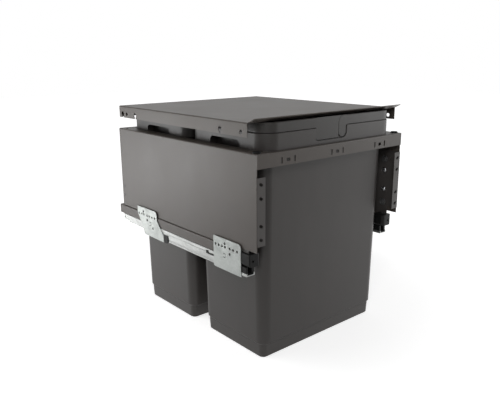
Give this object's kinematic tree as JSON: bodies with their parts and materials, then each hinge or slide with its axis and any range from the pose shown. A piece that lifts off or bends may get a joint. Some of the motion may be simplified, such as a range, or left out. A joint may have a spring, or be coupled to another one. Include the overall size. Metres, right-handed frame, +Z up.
{
  "type": "pull out bin frame",
  "caption": "Pull out frame for waste bins inside a cabinet: folded sheet frame with door brackets on ball bearing runners, tapered bins with bail handles, and a fixed sheet lid.",
  "frame": {"origin": "under the middle of the unit, on the surface that the bins stand on", "axes": "+X across the cabinet to its right seen from the front, +Y from the front to the rear, +Z up"},
  "size_m": [0.414, 0.5, 0.4707],
  "materials": {
    "lid_paint": "fine textured powder coat",
    "frame_paint": "fine textured powder coat",
    "bracket_paint": "dark powder coat",
    "bin_plastic": "finely grained moulding",
    "bail_plastic": "finely grained moulding",
    "black_plastic": "moulded",
    "plate_zinc": "zinc plated sheet",
    "runner_zinc": "zinc plated, rolled",
    "cage_steel": "zinc plated strip",
    "ball_steel": "ground and polished",
    "dark_fixing": "blackened",
    "bright_screw": "zinc plated"
  },
  "bodies": {
    "cabinet_side": {"right_cabinet_profile": "runner_zinc", "right_front_mounting_plate": "plate_zinc", "right_rear_mounting_plate": "plate_zinc", "right_rear_stop": "black_plastic", "right_front_stop": "black_plastic", "right_front_guide": "black_plastic", "left_cabinet_profile": "runner_zinc", "left_front_mounting_plate": "plate_zinc", "left_rear_mounting_plate": "plate_zinc", "left_rear_stop": "black_plastic", "left_front_stop": "black_plastic", "left_front_guide": "black_plastic"},
    "lid": {"lid": "lid_paint"},
    "right_middle": {"right_middle_profile": "runner_zinc"},
    "left_middle": {"left_middle_profile": "runner_zinc"},
    "right_lower_cage": {"right_lower_ball_cage": "cage_steel", "right_lower_balls": "ball_steel"},
    "left_lower_cage": {"left_lower_ball_cage": "cage_steel", "left_lower_balls": "ball_steel"},
    "right_upper_cage": {"right_upper_ball_cage": "cage_steel", "right_upper_balls": "ball_steel"},
    "left_upper_cage": {"left_upper_ball_cage": "cage_steel", "left_upper_balls": "ball_steel"},
    "carriage": {"front_bin": "bin_plastic", "front_bin_left_bail": "bail_plastic", "front_bin_right_bail": "bail_plastic", "front_crossbar": "frame_paint", "left_bracket_discs": "dark_fixing", "left_bracket_screws": "bright_screw", "left_carrier_rail": "frame_paint", "left_door_bracket": "bracket_paint", "left_front_coupling": "black_plastic", "left_panel_fixings": "dark_fixing", "left_side_panel": "frame_paint", "left_top_bumper": "black_plastic", "rear_bin": "bin_plastic", "rear_bin_left_bail": "bail_plastic", "rear_bin_right_bail": "bail_plastic", "rear_crossbar": "frame_paint", "rear_lower_crossbar": "frame_paint", "right_bracket_discs": "dark_fixing", "right_bracket_screws": "bright_screw", "right_carrier_rail": "frame_paint", "right_door_bracket": "bracket_paint", "right_front_coupling": "black_plastic", "right_panel_fixings": "dark_fixing", "right_side_panel": "frame_paint", "right_top_bumper": "black_plastic"}
  },
  "joints": [
    {"name": "carriage_slide", "type": "slide", "parent": "cabinet_side", "child": "carriage", "axis": [0, -1, 0], "range_m": [0, 0.45]},
    {"name": "lid_lift", "type": "slide", "parent": "cabinet_side", "child": "lid", "axis": [0, 0, 1], "range_m": [0, 0.03]},
    {"name": "right_middle_slide", "type": "slide", "parent": "cabinet_side", "child": "right_middle", "axis": [0, -1, 0], "range_m": [0, 0.225]},
    {"name": "right_lower_cage_slide", "type": "slide", "parent": "cabinet_side", "child": "right_lower_cage", "axis": [0, -1, 0], "range_m": [0, 0.1125]},
    {"name": "right_upper_cage_slide", "type": "slide", "parent": "cabinet_side", "child": "right_upper_cage", "axis": [0, -1, 0], "range_m": [0, 0.3375]},
    {"name": "left_middle_slide", "type": "slide", "parent": "cabinet_side", "child": "left_middle", "axis": [0, -1, 0], "range_m": [0, 0.225]},
    {"name": "left_lower_cage_slide", "type": "slide", "parent": "cabinet_side", "child": "left_lower_cage", "axis": [0, -1, 0], "range_m": [0, 0.1125]},
    {"name": "left_upper_cage_slide", "type": "slide", "parent": "cabinet_side", "child": "left_upper_cage", "axis": [0, -1, 0], "range_m": [0, 0.3375]}
  ],
  "couplings": [
    {"joint": "right_middle_slide", "follows": "carriage_slide", "ratio": 0.5},
    {"joint": "right_lower_cage_slide", "follows": "carriage_slide", "ratio": 0.25},
    {"joint": "right_upper_cage_slide", "follows": "carriage_slide", "ratio": 0.75},
    {"joint": "left_middle_slide", "follows": "carriage_slide", "ratio": 0.5},
    {"joint": "left_lower_cage_slide", "follows": "carriage_slide", "ratio": 0.25},
    {"joint": "left_upper_cage_slide", "follows": "carriage_slide", "ratio": 0.75}
  ]
}
